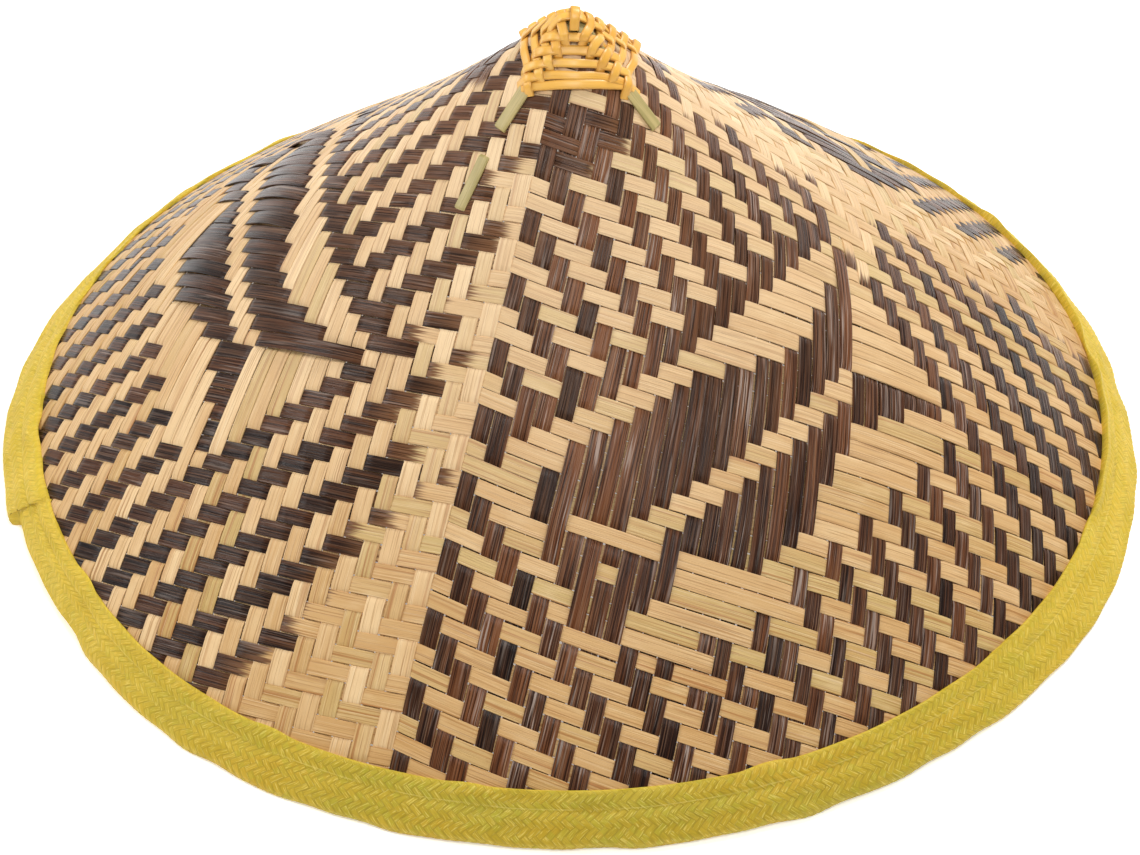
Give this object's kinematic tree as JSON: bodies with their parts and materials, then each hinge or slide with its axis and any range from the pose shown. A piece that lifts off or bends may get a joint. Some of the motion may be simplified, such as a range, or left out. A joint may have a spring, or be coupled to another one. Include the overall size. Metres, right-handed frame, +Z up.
{
  "type": "plaited bamboo cone hat",
  "caption": "Round cone-shaped sun hat plaited from flat bamboo splints, with a straw-bound rim and a wound cane cap at the peak.",
  "frame": {"origin": "on the surface the hat rests on, under the peak, at the centre of the rim", "axes": "+Z up through the peak, -Y towards the side the picture shows, +X to its right"},
  "size_m": [0.4206, 0.42, 0.1835],
  "materials": {
    "plaited_bamboo": "natural and dark dyed bamboo splints, satin",
    "plaited_straw": "yellow-green plaited straw tape, matt",
    "green_bamboo": "greenish tan bamboo skin, satin",
    "cane": "orange-yellow varnished cane, semi-gloss"
  },
  "bodies": {
    "root": {"crown": "plaited_bamboo", "rim_binding": "plaited_straw", "cross_strip_lower": "green_bamboo", "cross_strip_upper": "green_bamboo", "peak_cap": "cane"}
  },
  "joints": []
}
